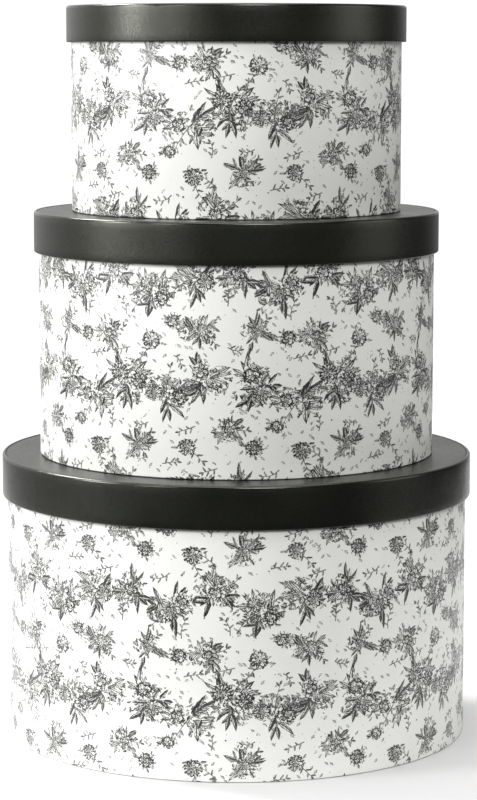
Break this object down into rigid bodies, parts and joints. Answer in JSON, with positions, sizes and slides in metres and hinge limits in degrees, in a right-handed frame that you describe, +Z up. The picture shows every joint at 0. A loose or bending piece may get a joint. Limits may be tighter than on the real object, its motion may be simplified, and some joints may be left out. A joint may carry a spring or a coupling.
{
  "type": "hat box set",
  "caption": "Stack of graduated round hat boxes with lift-off telescoping lids: rolled chipboard walls in floral printed paper, lids in dark leather-grained paper.",
  "frame": {"origin": "centre of the underside of the large box, on the surface that the stack stands on", "axes": "+Z up along the common axis of the round boxes; +X to the right and -Y towards the viewer"},
  "size_m": [0.35, 0.35, 0.5394],
  "materials": {
    "printed_paper": "matte off-white paper with a grey floral print",
    "lid_cover": "satin dark olive-grey, fine leather grain",
    "chipboard": "matte grey-brown chipboard",
    "lining_paper": "matte plain off-white paper"
  },
  "bodies": {
    "large_box": {"large_box_wall": "chipboard", "large_box_base": "chipboard", "large_box_printed_wrap": "printed_paper", "large_box_wall_lining": "lining_paper", "large_box_floor_lining": "lining_paper", "large_box_underside_paper": "lining_paper"},
    "large_lid": {"large_lid_rim_board": "chipboard", "large_lid_rim_cover": "lid_cover", "large_lid_top_board": "chipboard", "large_lid_top_cover": "lid_cover", "large_lid_lining": "lining_paper"},
    "medium_box": {"medium_box_wall": "chipboard", "medium_box_base": "chipboard", "medium_box_printed_wrap": "printed_paper", "medium_box_wall_lining": "lining_paper", "medium_box_floor_lining": "lining_paper", "medium_box_underside_paper": "lining_paper"},
    "medium_lid": {"medium_lid_rim_board": "chipboard", "medium_lid_rim_cover": "lid_cover", "medium_lid_top_board": "chipboard", "medium_lid_top_cover": "lid_cover", "medium_lid_lining": "lining_paper"},
    "small_box": {"small_box_wall": "chipboard", "small_box_base": "chipboard", "small_box_printed_wrap": "printed_paper", "small_box_wall_lining": "lining_paper", "small_box_floor_lining": "lining_paper", "small_box_underside_paper": "lining_paper"},
    "small_lid": {"small_lid_rim_board": "chipboard", "small_lid_rim_cover": "lid_cover", "small_lid_top_board": "chipboard", "small_lid_top_cover": "lid_cover", "small_lid_lining": "lining_paper"}
  },
  "joints": [
    {"name": "large_lid_lift", "type": "slide", "parent": "large_box", "child": "large_lid", "axis": [0, 0, 1], "range_m": [0, 0.2]},
    {"name": "medium_box_lift", "type": "slide", "parent": "large_lid", "child": "medium_box", "axis": [0, 0, 1], "range_m": [0, 0.06]},
    {"name": "medium_lid_lift", "type": "slide", "parent": "medium_box", "child": "medium_lid", "axis": [0, 0, 1], "range_m": [0, 0.18]},
    {"name": "small_box_lift", "type": "slide", "parent": "medium_lid", "child": "small_box", "axis": [0, 0, 1], "range_m": [0, 0.06]},
    {"name": "small_lid_lift", "type": "slide", "parent": "small_box", "child": "small_lid", "axis": [0, 0, 1], "range_m": [0, 0.15]}
  ]
}
